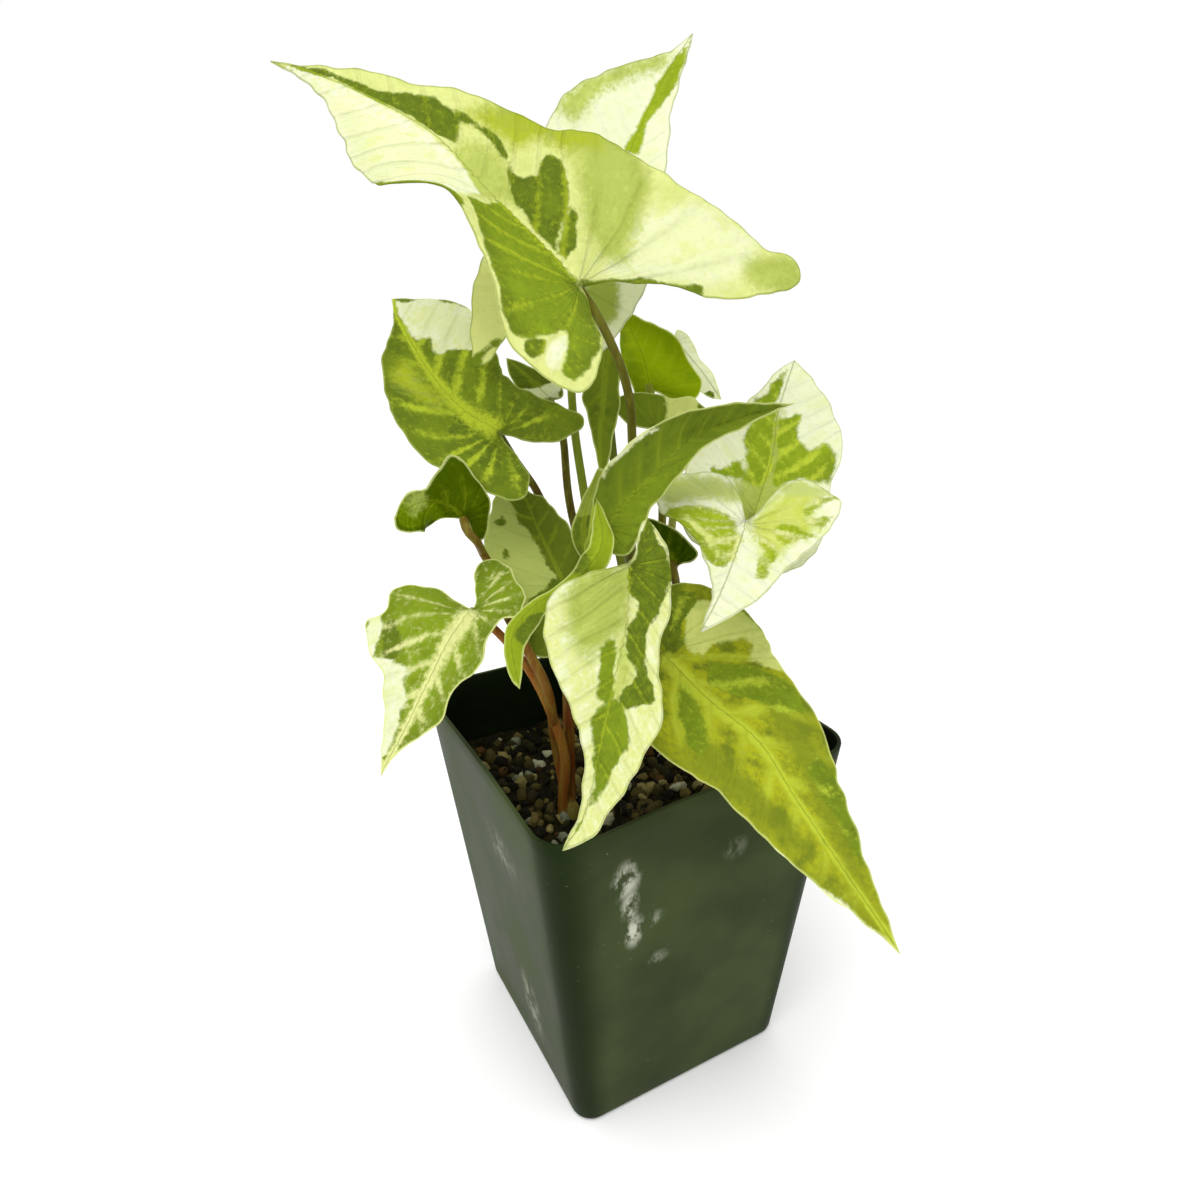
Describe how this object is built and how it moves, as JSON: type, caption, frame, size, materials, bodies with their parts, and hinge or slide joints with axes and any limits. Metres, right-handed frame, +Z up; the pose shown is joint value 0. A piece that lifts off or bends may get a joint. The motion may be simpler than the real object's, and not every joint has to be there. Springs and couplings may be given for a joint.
{
  "type": "potted arrowhead plant",
  "caption": "Variegated arrowhead plant: arrow-shaped leaves on long thin stalks growing from potting mix in a square tapered nursery pot.",
  "frame": {"origin": "centre of the pot's underside, on the surface it stands on", "axes": "+Z up; -Y is the pot face at the right in the picture, -X the pot face at the left in the picture"},
  "size_m": [0.1296, 0.1614, 0.2762],
  "materials": {
    "pot_plastic": "dark green moulded nursery pot, satin and scuffed",
    "potting_mix": "loose bark and peat mix with pale perlite grains",
    "leaf_stalk": "smooth reddish brown to green leaf stalk",
    "leaf_blade": "soft satin leaf, green marbled with cream"
  },
  "bodies": {
    "root": {"pot": "pot_plastic", "soil": "potting_mix", "stalks_left": "leaf_stalk", "stalks_middle": "leaf_stalk", "stalks_back": "leaf_stalk", "leaf_top": "leaf_blade", "leaf_back_top": "leaf_blade", "leaf_left": "leaf_blade", "leaf_left_dark": "leaf_blade", "leaf_low_left": "leaf_blade", "leaf_centre": "leaf_blade", "leaf_young": "leaf_blade", "leaf_front": "leaf_blade", "leaf_low_right": "leaf_blade", "leaf_right_back": "leaf_blade", "leaf_right_front": "leaf_blade", "leaf_long": "leaf_blade", "leaf_olive": "leaf_blade", "leaf_cream_back": "leaf_blade", "leaf_back_low": "leaf_blade", "leaf_grey": "leaf_blade", "leaf_small_pale": "leaf_blade", "leaf_dark_behind": "leaf_blade", "leaf_behind_left": "leaf_blade"}
  },
  "joints": []
}
